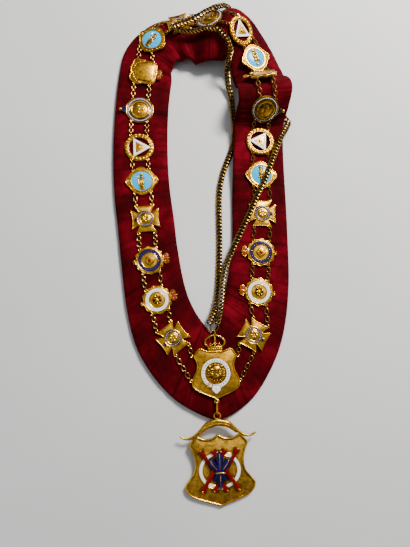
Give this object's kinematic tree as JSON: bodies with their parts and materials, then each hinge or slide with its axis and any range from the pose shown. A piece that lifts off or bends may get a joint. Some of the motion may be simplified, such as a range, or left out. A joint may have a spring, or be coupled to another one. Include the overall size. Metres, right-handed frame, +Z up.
{
  "type": "chain of office",
  "caption": "Chain of office lying face up: a padded velvet collar with gilt enamelled plaques on short double chains, a crowned centre shield, a hanging shield and a curb neck chain.",
  "frame": {"origin": "middle of the whole object's outline, on the surface that it lies on", "axes": "+Y from the hanging shield towards the neck, +Z up out of the faces, +X to the right seen from above"},
  "size_m": [0.2164, 0.5872, 0.0451],
  "materials": {
    "velvet": "deep red cotton velvet, padded and worn",
    "gilt_metal": "gilt metal, satin, darkened in the recesses",
    "white_enamel": "glossy white enamel on gilt metal",
    "blue_enamel": "glossy deep blue enamel on gilt metal",
    "red_enamel": "glossy red enamel on gilt metal",
    "turquoise_enamel": "glossy turquoise enamel on gilt metal"
  },
  "bodies": {
    "root": {"centre_belt": "white_enamel", "centre_mask": "gilt_metal", "centre_shield": "gilt_metal", "drop_link": "gilt_metal", "neck_chain": "gilt_metal", "neck_ring": "gilt_metal", "pendant_fret": "red_enamel", "pendant_lily": "blue_enamel", "pendant_ring": "white_enamel", "pendant_shield": "gilt_metal", "plaque_01_cross": "gilt_metal", "plaque_02_white_rosette": "white_enamel", "plaque_03_blue_rosette": "blue_enamel", "plaque_04_cross": "gilt_metal", "plaque_05_quatrefoil": "turquoise_enamel", "plaque_06_wreath": "gilt_metal", "plaque_07_garter": "gilt_metal", "plaque_08_cartouche": "gilt_metal", "plaque_09_quatrefoil": "turquoise_enamel", "plaque_10_cross": "gilt_metal", "plaque_11_garter": "gilt_metal", "plaque_12_wreath": "gilt_metal", "plaque_13_quatrefoil": "turquoise_enamel", "plaque_14_cartouche": "gilt_metal", "plaque_15_garter": "gilt_metal", "plaque_16_wreath": "gilt_metal", "plaque_17_quatrefoil": "turquoise_enamel", "plaque_18_cross": "gilt_metal", "plaque_19_blue_rosette": "blue_enamel", "plaque_20_white_rosette": "white_enamel", "plaque_21_cross": "gilt_metal", "velvet_collar": "velvet"}
  },
  "joints": []
}
